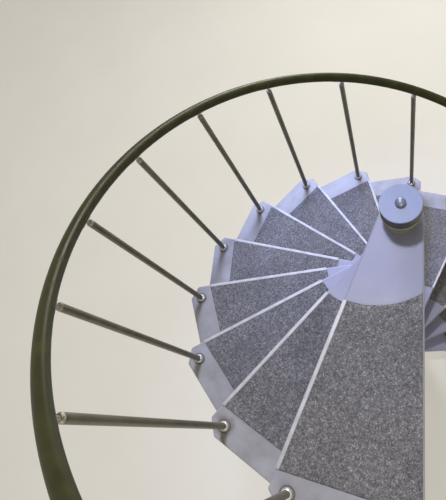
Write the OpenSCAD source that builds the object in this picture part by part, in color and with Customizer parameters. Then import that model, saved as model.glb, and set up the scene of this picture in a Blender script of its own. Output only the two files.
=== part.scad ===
/* [Stair] */
// Number of treads, the top one level with the upper floor
tread_count = 13; // [5:1:16]
// Height from one tread to the next
rise = 200; // [170:1:230]
// Turn from one tread to the next, in degrees
turn = 20.4; // [18:0.1:24]
// Distance of the balusters from the stair's axis
baluster_r = 865; // [700:1:1100]

/* [Treads] */
// Thickness of the folded sheet
sheet_t = 4; // [3:0.5:6]
// Depth of the folded edge, top face included
tread_depth = 40; // [25:1:70]
// Half width of a tread where its sides pass the axis
hub_half = 68; // [62:1:90]
// From a baluster's centre sideways to the tread's edge
side_margin = 56; // [40:1:80]
// From a baluster's centre outwards to the tread's end
rim_margin = 50; // [35:1:80]
// Length cut off each outer corner
corner_cut = 53; // [30:1:70]
// Radius of the two bends beside each cut
corner_r = 12; // [8:1:16]
// Thickness of the stiffening rib underneath
rib_t = 5; // [3:0.5:10]
// Depth of the stiffening rib below the sheet
rib_depth = 26; // [10:1:34]
// Diameter of the hole for the bolt in the tread's rear corner
rear_bolt_d = 11; // [8:0.5:14]
// Number of bolt holes in the top tread's rear edge
landing_holes = 3; // [2:1:4]
// Diameter of these holes
landing_hole_d = 11; // [8:0.5:14]
// From the axis along the edge to the first of these holes
landing_first = 240; // [120:5:300]
// From one of these holes to the next
landing_pitch = 180; // [60:5:190]

/* [Mats and nosings] */
// Thickness of the grit mat
mat_t = 3.5; // [2:0.5:8]
// Bare width between the mat and the tread's end
mat_rim = 105; // [60:1:160]
// Bare strip between the mat and the tread's rear edge
mat_rear = 5; // [2:1:20]
// Radius of the mat's round inner edge
mat_arc_r = 238; // [150:1:300]
// Centre of that round edge, outwards from the axis
mat_arc_x = 47; // [0:1:100]
// Centre of that round edge, towards the tread's front
mat_arc_y = 66; // [0:1:90]
// Width of the nosing strip on top
nosing_w = 10; // [6:0.5:30]
// Thickness of the nosing strip
nosing_t = 4.5; // [2:0.5:8]
// Depth of the nosing strip's lip in front
nosing_lip = 16; // [5:1:22]
// Thickness of the nosing strip's lip
lip_t = 2; // [1:0.5:4]

/* [Column] */
// Outer diameter of the column tube
column_d = 95; // [60:1:98]
// Wall of the column tube
column_wall = 5; // [3:0.5:10]
// Play between the column and what slides over it
column_fit = 0.5; // [0.2:0.1:1]
// Outer diameter of the spacers and tread hubs
spacer_d = 105; // [102:1:114]
// Height of the top spacer above the top tread
top_spacer_h = 63; // [40:1:200]
// Diameter of the base flange
flange_d = 300; // [240:5:400]
// Thickness of the base flange
flange_t = 12; // [8:1:25]
// Diameter of the bolt circle in the base flange
bolt_circle_d = 240; // [190:5:250]
// Number of holes in the base flange
flange_holes = 6; // [3:1:8]
// Diameter of the holes in the base flange
flange_hole_d = 14; // [10:0.5:20]
// Height of the welded collar on the base flange
collar_h = 30; // [15:1:60]
// Diameter of the welded collar on the base flange
collar_d = 125; // [118:1:150]

/* [Cap] */
// Diameter of the cap disc
cap_d = 121; // [116:1:150]
// Thickness of the cap disc
cap_t = 5; // [3:0.5:10]
// Size of the bevel round the disc
cap_edge = 1; // [0.5:0.5:2]
// Height of the dark ring under the disc
cap_ring_h = 46; // [20:1:80]
// Step in from the disc to this ring
cap_ring_step = 1.5; // [0.5:0.5:4]
// Thickness of the seal under this ring
seal_t = 2.5; // [1:0.5:5]
// Width of the seal past this ring
seal_lip = 2.5; // [1:0.5:4]
// Diameter of the cap nut
cap_nut_d = 31; // [20:1:50]
// Height of the cap nut's straight edge
cap_nut_rim = 5; // [2:0.5:15]
// Diameter of the threaded rod that the nut is on
rod_d = 16; // [10:1:20]
// Play between the rod and its hole
rod_fit = 0.5; // [0.2:0.1:1]

/* [Balusters] */
// Outer diameter of a baluster tube
baluster_d = 22; // [18:0.5:28]
// Wall of a baluster tube
baluster_wall = 2; // [1:0.5:4]
// Play between a baluster and its holes
baluster_fit = 0.3; // [0.1:0.1:1]
// From the handrail's middle down to a baluster's top end
head_gap = 48; // [34:1:80]
// Diameter of the foot's washer
foot_washer_d = 46; // [45:1:60]
// Thickness of the foot's washer
foot_washer_t = 2; // [1:0.5:5]
// Wall of the foot's domed bush
bush_wall = 7; // [3:0.5:8]
// Height of the foot's domed bush
bush_h = 16; // [8:1:40]
// Diameter of the floor plate under the first baluster
floor_plate_d = 70; // [50:1:120]
// Thickness of the floor plate under the first baluster
floor_plate_t = 5; // [3:0.5:10]

/* [Handrail] */
// Diameter of the handrail
rail_d = 38; // [30:1:50]
// Height of the handrail's middle over each baluster's tread
rail_h = 989; // [970:1:1200]
// Length of the handrail past its end balusters
rail_over = 120; // [60:1:300]
// Sides of the handrail's section
rail_sides = 18; // [12:2:24]
// Longest straight stretch of the handrail's curve
rail_step = 40; // [30:5:80]
// Thickness of a saddle under the handrail
saddle_t = 2.5; // [1.5:0.5:5]
// Length of a saddle
saddle_l = 68; // [30:1:90]
// Width of a saddle
saddle_w = 20; // [12:1:28]
// Diameter of the pin between baluster and saddle
pin_d = 9; // [6:0.5:12]
// Diameter of the ring round the pin
pin_ring_d = 16; // [13:0.5:20]
// Height of the ring round the pin
pin_ring_h = 4; // [2:0.5:8]
// Thickness of the plug in a baluster's top end
plug_t = 3; // [2:0.5:6]

/* [Hidden] */
$fn = 64;
// cuts reach this far past the faces that they open
past = 1;
bush_d = baluster_d + 2 * bush_wall;
baluster_h = rail_h - head_gap;

// the balusters' holes, in a frame whose x axis is the tread's middle line
hole_x = baluster_r * cos(turn / 2);
hole_y = baluster_r * sin(turn / 2);
side_slope = (hole_y + side_margin - hub_half) / hole_x;
side_angle = atan(side_slope);
rim_x = hole_x + rim_margin;
mat_end_x = rim_x - mat_rim;
// x + y is the same all along the cut corner
corner_sum = rim_x + hub_half + side_slope * rim_x - corner_cut;
// the nosing strips start where the mat's round edge meets the tread's front edge
nosing_near = mat_arc_x + sqrt(pow(mat_arc_r, 2) - pow(side_y(mat_arc_x, 0) - mat_arc_y, 2));

// the handrail's climb, in degrees, and its ends
rail_pitch = atan(rise / (baluster_r * turn * PI / 180));
rail_over_angle = rail_over / baluster_r * 180 / PI;
rail_start = baluster_bearing(1) - rail_over_angle;
rail_stop = baluster_bearing(tread_count) + rail_over_angle;
rail_rings = ceil((rail_stop - rail_start) * PI / 180 * baluster_r / cos(rail_pitch) / rail_step);

ring_bottom = tread_count * rise + top_spacer_h + seal_t;
cap_bottom = ring_bottom + cap_ring_h;
cap_top = cap_bottom + cap_t;
ring_r = cap_d / 2 - cap_ring_step;
rod_bore_r = rod_d / 2 + rod_fit;

function tag(i) = str(i < 10 ? "0" : "", i);
function baluster_bearing(i) = (i - tread_count) * turn;

// a half outline of the tread, moved in from its edges by inset
function side_y(x, inset) = hub_half + side_slope * x - inset / cos(side_angle);
function cut_x(inset) =
    (corner_sum - inset * sqrt(2) - side_y(0, inset)) / (1 + side_slope);
function half_outline(inset) = [
    [0, side_y(0, inset)],
    [cut_x(inset), side_y(cut_x(inset), inset)],
    [rim_x - inset, corner_sum - inset * sqrt(2) - rim_x + inset]
];

// points of a round bend of radius r between the directions from_a and to_a of its edges' normals
function bend(corner, from_a, to_a, r) =
    let (
        mid_a = (from_a + to_a) / 2,
        middle = corner - r / cos((from_a - to_a) / 2) * [cos(mid_a), sin(mid_a)]
    )
    [for (k = [0:3]) let (a = from_a + (to_a - from_a) * k / 3) middle + r * [cos(a), sin(a)]];

module tread_outline(inset) {
    corners = half_outline(inset);
    half = concat(
        [corners[0]],
        bend(corners[1], 90 + side_angle, 45, corner_r - inset),
        bend(corners[2], 45, 0, corner_r - inset)
    );
    other_half = [for (k = [len(half) - 1:-1:0]) [half[k].x, -half[k].y]];
    polygon(concat(half, other_half));
    circle(r = hub_half - inset);
}

module in_tread(i) {
    rotate([0, 0, baluster_bearing(i) + turn / 2])
        translate([0, 0, i * rise])
            children();
}

module at_baluster(i) {
    rotate([0, 0, baluster_bearing(i)])
        translate([baluster_r, 0, i * rise])
            children();
}

module tube(outer_d, bore_d, h) {
    difference() {
        cylinder(d = outer_d, h = h);
        translate([0, 0, -past]) cylinder(d = bore_d, h = h + 2 * past);
    }
}

// a tray of folded sheet, open underneath, welded round a hub ring
module tread(i) {
    color("#aaaab4") in_tread(i) difference() {
        union() {
            difference() {
                translate([0, 0, -tread_depth])
                    linear_extrude(tread_depth) tread_outline(0);
                translate([0, 0, -tread_depth - past])
                    linear_extrude(tread_depth - sheet_t + past) tread_outline(sheet_t);
            }
            translate([0, 0, -tread_depth]) cylinder(d = spacer_d, h = tread_depth);
            translate([0, -rib_t / 2, -sheet_t - rib_depth])
                cube([rim_x - sheet_t / 2, rib_t, rib_depth + sheet_t / 2]);
        }
        translate([0, 0, -tread_depth - past])
            cylinder(d = column_d + 2 * column_fit, h = tread_depth + 2 * past);
        translate([hole_x, -hole_y, -sheet_t - past])
            cylinder(d = baluster_d + 2 * baluster_fit, h = sheet_t + 2 * past);
        translate([hole_x, hole_y, -sheet_t - past])
            cylinder(d = rear_bolt_d, h = sheet_t + 2 * past);
        if (i == tread_count) landing_cuts();
    }
}

// holes for bolting the top tread's rear edge to the floor
module landing_cuts() {
    translate([0, side_y(0, 0), -tread_depth / 2])
        rotate([0, 0, side_angle])
            for (k = [0:landing_holes - 1])
                translate([landing_first + k * landing_pitch, past, 0])
                    rotate([90, 0, 0])
                        cylinder(d = landing_hole_d, h = sheet_t + 2 * past);
}

// the grit mat covers the tread from the nosing strip to the rear edge
module mat_outline() {
    front = nosing_w / cos(side_angle);
    rear = mat_rear / cos(side_angle);
    difference() {
        polygon([
            [0, front - side_y(0, 0)],
            [mat_end_x, front - side_y(mat_end_x, 0)],
            [mat_end_x, side_y(mat_end_x, 0) - rear],
            [0, side_y(0, 0) - rear]
        ]);
        translate([mat_arc_x, -mat_arc_y]) circle(r = mat_arc_r);
    }
}

module tread_mats() {
    color("#6f6f74")
        for (i = [1:tread_count])
            in_tread(i) linear_extrude(mat_t) mat_outline();
}

// an angle strip over the tread's front edge, as long as the mat
module nosing_strips() {
    color("#d4d4dc")
        for (i = [1:tread_count])
            in_tread(i)
                translate([0, -side_y(0, 0), 0])
                    rotate([0, 0, -side_angle])
                        translate([nosing_near / cos(side_angle), 0, 0])
                            nosing((mat_end_x - nosing_near) / cos(side_angle));
}

module nosing(l) {
    translate([0, -lip_t, 0]) cube([l, nosing_w + lip_t, nosing_t]);
    translate([0, -lip_t, -nosing_lip]) cube([l, lip_t, nosing_lip + nosing_t]);
}

module base_flange() {
    color("#8f8f96") difference() {
        union() {
            cylinder(d = flange_d, h = flange_t);
            cylinder(d = collar_d, h = flange_t + collar_h);
        }
        translate([0, 0, flange_t])
            cylinder(d = spacer_d + 2 * column_fit, h = collar_h + past);
        for (k = [0:flange_holes - 1])
            rotate([0, 0, (k + 0.5) * 360 / flange_holes])
                translate([bolt_circle_d / 2, 0, -past])
                    cylinder(d = flange_hole_d, h = flange_t + 2 * past);
    }
}

module centre_column() {
    color("#8f8f96")
        translate([0, 0, flange_t])
            tube(column_d, column_d - 2 * column_wall, cap_bottom - flange_t);
}

// one spacer under each tread and one over the top tread
module column_spacers() {
    bore = column_d + 2 * column_fit;
    color("#77776a") {
        translate([0, 0, flange_t])
            tube(spacer_d, bore, rise - tread_depth - flange_t);
        for (i = [2:tread_count])
            translate([0, 0, (i - 1) * rise])
                tube(spacer_d, bore, rise - tread_depth);
        translate([0, 0, tread_count * rise])
            tube(spacer_d, bore, top_spacer_h);
    }
}

module seal_ring() {
    color("#a8a89c")
        translate([0, 0, ring_bottom - seal_t])
            tube(2 * (ring_r + seal_lip), column_d + 2 * column_fit, seal_t);
}

module cap_ring() {
    color("#3c3c40")
        translate([0, 0, ring_bottom])
            tube(2 * ring_r, column_d + 2 * column_fit, cap_ring_h);
}

// the cap is a turned disc with a hole for the rod
module column_cap() {
    r = cap_d / 2;
    color("#a9a9c0")
        translate([0, 0, cap_bottom])
            rotate_extrude()
                polygon([
                    [rod_bore_r, 0], [r, 0], [r, cap_t - cap_edge], [r - cap_edge, cap_t], [rod_bore_r, cap_t]
                ]);
}

// a dome nut on the end of the rod that clamps the column
module cap_nut() {
    r = cap_nut_d / 2;
    color("#c4c4cc") {
        translate([0, 0, cap_top]) intersection() {
            cylinder(d = cap_nut_d, h = cap_nut_rim + r);
            union() {
                cylinder(d = cap_nut_d, h = cap_nut_rim);
                translate([0, 0, cap_nut_rim]) sphere(d = cap_nut_d);
            }
        }
        translate([0, 0, cap_bottom]) cylinder(d = rod_d, h = cap_top - cap_bottom + cap_nut_rim);
    }
}

// a baluster goes down through its own tread and stands on the tread below
module baluster(i) {
    low = i == 1 ? floor_plate_t - rise : -rise;
    color("#6b665c")
        at_baluster(i)
            translate([0, 0, low])
                tube(baluster_d, baluster_d - 2 * baluster_wall, baluster_h - low);
}

module baluster_feet() {
    color("#b9b6b2")
        for (i = [1:tread_count])
            at_baluster(i) foot();
}

// a washer with a domed bush round the tube
module foot() {
    bore_r = baluster_d / 2 + baluster_fit;
    rotate_extrude()
        polygon(concat(
            [[bore_r, 0], [foot_washer_d / 2, 0], [foot_washer_d / 2, foot_washer_t]],
            [for (a = [0:15:75]) [
                bore_r + (bush_d / 2 - bore_r) * cos(a),
                foot_washer_t + (bush_h - foot_washer_t) * sin(a)
            ]],
            [[bore_r, bush_h]]
        ));
}

module floor_plate() {
    color("#8f8f96")
        rotate([0, 0, baluster_bearing(1)])
            translate([baluster_r, 0, 0])
                cylinder(d = floor_plate_d, h = floor_plate_t);
}

function rail_middle(a) = [
    baluster_r * cos(a),
    baluster_r * sin(a),
    (tread_count + a / turn) * rise + rail_h
];

// the children's z axis runs up along the handrail and their x axis points down
module along_rail(a) {
    translate(rail_middle(a))
        rotate([0, 0, a + 90])
            rotate([0, 90 - rail_pitch, 0])
                children();
}

// a plug, a pin with its ring, and a saddle bent round the handrail
module head(i) {
    difference() {
        union() {
            at_baluster(i) {
                translate([0, 0, baluster_h]) cylinder(d = baluster_d, h = plug_t);
                translate([0, 0, baluster_h + plug_t]) cylinder(d = pin_ring_d, h = pin_ring_h);
                translate([0, 0, baluster_h]) cylinder(d = pin_d, h = rail_h - baluster_h);
            }
            along_rail(baluster_bearing(i))
                intersection() {
                    translate([0, 0, -saddle_l / 2])
                        cylinder(d = rail_d + 2 * saddle_t, h = saddle_l);
                    translate([0, -saddle_w / 2, -saddle_l / 2])
                        cube([rail_d, saddle_w, saddle_l]);
                }
        }
        along_rail(baluster_bearing(i))
            translate([0, 0, -saddle_l]) cylinder(d = rail_d, h = 2 * saddle_l);
    }
}

module baluster_heads() {
    color("#8a857b")
        for (i = [1:tread_count])
            head(i);
}

// rings of points square to a helix, joined from one end to the other
module handrail() {
    r = rail_d / 2;
    n = rail_sides;
    points = [
        for (k = [0:rail_rings], j = [0:n - 1])
            let (
                a = rail_start + (rail_stop - rail_start) * k / rail_rings,
                f = 360 * j / n,
                out = [cos(a), sin(a), 0],
                up = [sin(a) * sin(rail_pitch), -cos(a) * sin(rail_pitch), cos(rail_pitch)]
            )
            rail_middle(a) + r * (cos(f) * out + sin(f) * up)
    ];
    sides = [
        for (k = [0:rail_rings - 1], j = [0:n - 1])
            let (m = (j + 1) % n)
            [k * n + j, k * n + m, (k + 1) * n + m, (k + 1) * n + j]
    ];
    first = [for (j = [n - 1:-1:0]) j];
    last = [for (j = [0:n - 1]) rail_rings * n + j];
    color("#3d3f30") polyhedron(points, concat([first], sides, [last]));
}

// domed plugs close the handrail's ends
module rail_end_caps() {
    color("#2f3026") {
        along_rail(rail_stop) end_dome();
        along_rail(rail_start) mirror([0, 0, 1]) end_dome();
    }
}

module end_dome() {
    intersection() {
        sphere(d = rail_d);
        cylinder(d = rail_d + 2 * past, h = rail_d);
    }
}

base_flange();
centre_column();
column_spacers();
for (i = [1:tread_count])
    tread(i);
tread_mats();
nosing_strips();
for (i = [1:tread_count])
    baluster(i);
baluster_feet();
baluster_heads();
floor_plate();
handrail();
rail_end_caps();
seal_ring();
cap_ring();
column_cap();
cap_nut();
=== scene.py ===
import math

import bmesh
import bpy
import numpy as np
from mathutils import Matrix, Vector
from mathutils.geometry import tessellate_polygon


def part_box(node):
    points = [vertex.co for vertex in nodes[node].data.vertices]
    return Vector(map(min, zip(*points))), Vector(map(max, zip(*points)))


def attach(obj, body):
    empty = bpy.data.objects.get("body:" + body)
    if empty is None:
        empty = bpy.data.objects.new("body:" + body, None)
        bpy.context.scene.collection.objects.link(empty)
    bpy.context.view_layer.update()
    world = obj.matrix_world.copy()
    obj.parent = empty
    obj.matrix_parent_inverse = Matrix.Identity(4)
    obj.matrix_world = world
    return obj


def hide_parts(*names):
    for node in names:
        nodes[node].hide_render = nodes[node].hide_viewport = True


# A steel spiral stair, seen from above. All lengths are in metres.
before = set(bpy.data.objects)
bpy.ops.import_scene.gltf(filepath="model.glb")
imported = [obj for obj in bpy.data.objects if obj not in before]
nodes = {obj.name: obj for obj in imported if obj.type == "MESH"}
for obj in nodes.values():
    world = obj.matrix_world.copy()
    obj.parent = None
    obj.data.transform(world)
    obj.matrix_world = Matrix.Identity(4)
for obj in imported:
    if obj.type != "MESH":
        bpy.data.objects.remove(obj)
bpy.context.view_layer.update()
treadNames = sorted(n for n in nodes if n.startswith("tread_") and n[6:].isdigit())
print("frame loaded,", len(nodes), "nodes")

mm = 0.001
stair = {
    "count": len(treadNames),
    "rise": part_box("tread_02")[1].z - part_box("tread_01")[1].z,
    "turn": math.radians(20.4),  # from one tread to the next
    "balusterR": 865 * mm,  # from the axis to a baluster
}
treadsAll = range(1, stair["count"] + 1)


def bearing(i):
    # the angle of baluster i about the axis, 0 for the top one
    return (i - stair["count"]) * stair["turn"]


def turned(points, angle, lift=0.0):
    # points turned about the stair's axis by angle and raised by lift
    c, s = math.cos(angle), math.sin(angle)
    x, y, z = points[..., 0], points[..., 1], points[..., 2]
    return np.stack([c * x - s * y, s * x + c * y, z + lift], -1)


def onTread(points, i):
    # from a frame whose x axis is the tread's middle line, z = 0 on the tread
    return turned(points, bearing(i) + stair["turn"] / 2, i * stair["rise"])


def withBaluster(points, i):
    # from a frame whose x axis points at the baluster, z = 0 on its tread
    return turned(points, bearing(i), i * stair["rise"])


def atBaluster(points, i):
    # from a frame whose z axis is the baluster's own, z = 0 on its tread
    return withBaluster(points + [stair["balusterR"], 0, 0], i)


# Lines

def rounded(corners, radius, steps=6):
    # an open line whose inner corners become curves: each is a quadratic curve that starts and
    # ends radius / tan(half the corner's angle) away from the corner, as a fillet does
    p = np.asarray(corners, float)
    a, b, c = p[:-2], p[1:-1], p[2:]
    back = (a - b) / np.linalg.norm(a - b, axis=1, keepdims=True)
    on = (c - b) / np.linalg.norm(c - b, axis=1, keepdims=True)
    half = np.arccos(np.clip((back * on).sum(1), -1, 1)) / 2
    cut = (np.asarray(radius) / np.tan(half))[:, None] * np.ones((len(b), 1))
    t = np.linspace(0, 1, steps)[None, :, None]
    start, end = b + back * cut, b + on * cut
    curve = (1 - t) ** 2 * start[:, None] + 2 * t * (1 - t) * b[:, None] + t ** 2 * end[:, None]
    return np.vstack([p[:1], curve.reshape(-1, p.shape[1]), p[-1:]])


def roundedLoop(corners, radius, steps=6):
    # the same for a closed line, which starts in the middle of its last side
    corners = np.asarray(corners, float)
    start = (corners[:1] + corners[-1:]) / 2
    return rounded(np.vstack([start, corners, start]), radius, steps)[:-1]


def shrunk(loop, inset):
    # a closed counter-clockwise loop moved inwards: each point goes along the mean of its two
    # sides' normals, by inset / (1 + their dot product) times their sum
    ahead = np.roll(loop, -1, 0) - loop
    ahead = ahead / np.linalg.norm(ahead, axis=1, keepdims=True)
    normal = np.stack([-ahead[:, 1], ahead[:, 0]], 1)
    before = np.roll(normal, 1, 0)
    return loop + inset * (normal + before) / (1 + (normal * before).sum(1, keepdims=True))


def arcOf(centre, sizes, start, end, steps):
    # part of an ellipse, from start to end degrees: its half sizes times (cos a, sin a)
    a = np.radians(np.linspace(start, end, steps))
    return np.asarray(centre) + np.asarray(sizes) * np.stack([np.cos(a), np.sin(a)], 1)


def ring(radius, steps, centre=(0, 0)):
    # a whole circle, with no last point, which would be its first again
    return arcOf(centre, radius, 0, 360, steps + 1)[:-1]


def carried(loop, profile):
    # a closed loop carried along a profile of (inset, height), a row of points for each
    return np.stack([np.column_stack([shrunk(loop, inset), np.full(len(loop), z)])
                     for inset, z in profile])


# Surfaces

def newMesh(name, points, faces):
    # points and faces as a mesh
    made = bpy.data.meshes.new(name)
    made.from_pydata(points, [], faces)
    return made


def newObject(name, data):
    # a mesh, a lamp or a camera as an object of the scene
    made = bpy.data.objects.new(name, data)
    bpy.context.scene.collection.objects.link(made)
    return made


def pointsOf(mesh):
    # a mesh's points, one in each row
    points = np.empty(len(mesh.vertices) * 3)
    mesh.vertices.foreach_get("co", points)
    return points.reshape(-1, 3)


class Shell:
    # gathers grids and flat plates, and turns them into one mesh
    def __init__(self):
        self.points, self.faces, self.count = [], [], 0

    def add(self, points, faces):
        # faces count from their own first point, and are moved past those that came before
        self.points.append(points.reshape(-1, 3))
        self.faces += (np.asarray(faces) + self.count).tolist()
        self.count += len(self.points[-1])

    def grid(self, points, wrapRows=False):
        # points[row, column]; the last column joins the first, and so does the last row if asked
        rows, cols = points.shape[:2]
        r = np.arange(rows if wrapRows else rows - 1)[:, None]
        c = np.arange(cols)[None, :]
        r2, c2 = (r + 1) % rows, (c + 1) % cols
        corners = (r * cols + c, r * cols + c2, r2 * cols + c2, r2 * cols + c)
        self.add(points, np.stack(np.broadcast_arrays(*corners), -1).reshape(-1, 4))

    def plate(self, loops, z):
        # a flat face with holes: the first loop is its outline
        flat = [[Vector((x, y, 0)) for x, y in loop] for loop in loops]
        points = np.vstack(loops)
        self.add(np.column_stack([points, np.full(len(points), z)]), tessellate_polygon(flat))

    def end(self, loop3d):
        # closes a loop in space with a fan round its middle
        n = len(loop3d)
        k = np.arange(n)
        self.add(np.vstack([loop3d, loop3d.mean(0)]), np.stack([k, (k + 1) % n, np.full(n, n)], 1))

    def merged(self, gap=1e-5):
        # the one mesh with its doubles merged and its faces outwards, as points and faces
        made = bmesh.new()
        mesh = newMesh("merged", np.vstack(self.points), self.faces)
        made.from_mesh(mesh)
        bmesh.ops.remove_doubles(made, verts=made.verts, dist=gap)
        bmesh.ops.dissolve_degenerate(made, edges=made.edges, dist=gap / 2)
        bmesh.ops.recalc_face_normals(made, faces=made.faces)
        made.to_mesh(mesh)
        made.free()
        result = pointsOf(mesh), [list(f.vertices) for f in mesh.polygons]
        bpy.data.meshes.remove(mesh)
        return result


def surface(grid, wrapRows=False, gap=1e-5):
    # one grid of points as a mesh of its own
    made = Shell()
    made.grid(grid, wrapRows)
    return made.merged(gap)


def revolved(profile, steps):
    # profile (radius, height) turned about z: radius times (cos a, sin a), and its height
    x, y = ring(1, steps).T
    profile = np.asarray(profile)
    r, z = profile[:, :1], profile[:, 1:]
    return np.stack([r * x, r * y, z + 0 * x], -1)


def lathed(profile, steps, closed=False):
    # the revolved profile as a mesh; a closed one comes back to its first point
    return surface(revolved(profile, steps), closed)


def joined(*meshes):
    # several (points, faces) as one
    starts = np.cumsum([0] + [len(points) for points, faces in meshes])
    faces = [[v + int(start) for v in f]
             for start, (points, loops) in zip(starts, meshes) for f in loops]
    return np.vstack([points for points, faces in meshes]), faces


def makePiece(name, points, faces, material, slot, replaces=(), sharp=35):
    # a mesh as a piece of the stair: smooth but for edges over sharp degrees, and standing for
    # the CAD nodes that it replaces
    mesh = newMesh(name, points, faces)
    mesh.shade_smooth()
    mesh.set_sharp_from_angle(angle=math.radians(sharp))
    mesh.materials.append(material)
    piece = newObject(name, mesh)
    level = piece.modifiers.new("flatFaces", "WEIGHTED_NORMAL")  # keeps broad flat faces flat
    level.keep_sharp = True
    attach(piece, "root")
    if replaces:
        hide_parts(*replaces)
    return piece


def makeCopies(name, mesh, placer, which, material, slot, replaces=(), sharp=35):
    # one piece that holds a copy of the mesh for each tread or baluster
    points, faces = mesh
    placed = joined(*[(placer(points, i), faces) for i in which])
    return makePiece(name, *placed, material, slot, replaces, sharp)


# Materials

def linear(hexColour):
    # sRGB hex to linear: below 0.04045 c / 12.92, else ((c + 0.055) / 1.055) ^ 2.4
    c = np.array([int(hexColour[k:k + 2], 16) for k in (1, 3, 5)]) / 255
    c = np.where(c <= 0.04045, c / 12.92, ((c + 0.055) / 1.055) ** 2.4)
    return (*c.tolist(), 1.0)


def addNode(tree, kind, inputs=(), stops=(), **settings):
    # a shader node with its settings: its inputs come by name, or as a list for those in use, in
    # order, and each is a value, a socket or a node, which stands for its first output in use; a
    # ramp's stops are (place, hex colour)
    made = tree.nodes.new("ShaderNode" + kind)
    for name, value in settings.items():
        setattr(made, name, value)
    if isinstance(inputs, dict):
        given = [(made.inputs[name], value) for name, value in inputs.items()]
    else:
        given = zip([socket for socket in made.inputs if socket.enabled], inputs)
    for socket, value in given:
        if isinstance(value, bpy.types.Node):
            value = next(output for output in value.outputs if output.enabled)
        if isinstance(value, bpy.types.NodeSocket):
            tree.links.new(value, socket)
        else:
            socket.default_value = value
    if stops:
        ramp = made.color_ramp.elements
        while len(ramp) < len(stops):
            ramp.new(0.5)
        for element, (place, colour) in zip(ramp, stops):
            element.position = place
            element.color = linear(colour)
    return made


def startMaterial(name):
    # a material with an empty tree, and the place on the object that its patterns read
    made = bpy.data.materials.new(name)
    made.use_nodes = True
    tree = made.node_tree
    tree.nodes.clear()
    place = addNode(tree, "TexCoord").outputs["Object"]
    return made, tree, place


def finishMaterial(tree, finish, height, deep, strength):
    # the shader with its finish, and a bump from height that is deep metres at full strength
    bump = addNode(tree, "Bump", {"Height": height, "Distance": deep, "Strength": strength})
    shader = addNode(tree, "BsdfPrincipled", {**finish, "Normal": bump})
    addNode(tree, "OutputMaterial", {"Surface": shader})


def perMm(size):
    # the scale at which a pattern repeats about every size millimetres
    return 1000.0 / size


# a noise is mostly between 0.3 and 0.7, and the ranges in the materials lie about there
treadLooks = {
    "paint": "#9a9ba3", "paintCool": "#a4a6b4", "paintDull": "#8e8e94",
    "blotchMm": 135, "roughness": (0.4, 0.52), "reliefDeep": 0.1 * mm, "reliefShare": 0.25,
    # painted cool light and sheen at the hub, fading out from here to there, in metres
    "paintedCoolSheen": "#868aae", "coolSheenR": (0.20, 0.50), "coolSheenShare": 0.8,
    # specks of grime, and a pale edge: rubbed paint and a painted highlight on the bends
    "specksMm": 3, "speckShare": 0.55, "grime": "#6e6964", "edge": "#b6b7c0", "rubbedAndLitShare": 0.35,
    # rust round a baluster's foot, and a streak of it to the tread's end
    "rust": "#664f3f", "footXY": (0.8514, -0.1532), "haloR": (22 * mm, 42 * mm), "haloShare": 0.7,
    "streakTo": (0.905, -0.124), "streakHalf": (42 * mm, 10 * mm), "streakShare": 0.6,
    "wobbleMm": 18, "wobbleBy": 22 * mm,
    "stains": {12: 1.0, 13: 0.2}, "stainElse": 0.15,  # how rusty each tread's foot is
    # painted shadow along the mat's outer end, where the mat's edge shades the plate
    "matShadowLine": "#403f43", "matEnd": 0.7963, "matShadowHalf": 2 * mm, "matShadowShare": (0.5, 0.95),
}


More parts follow.
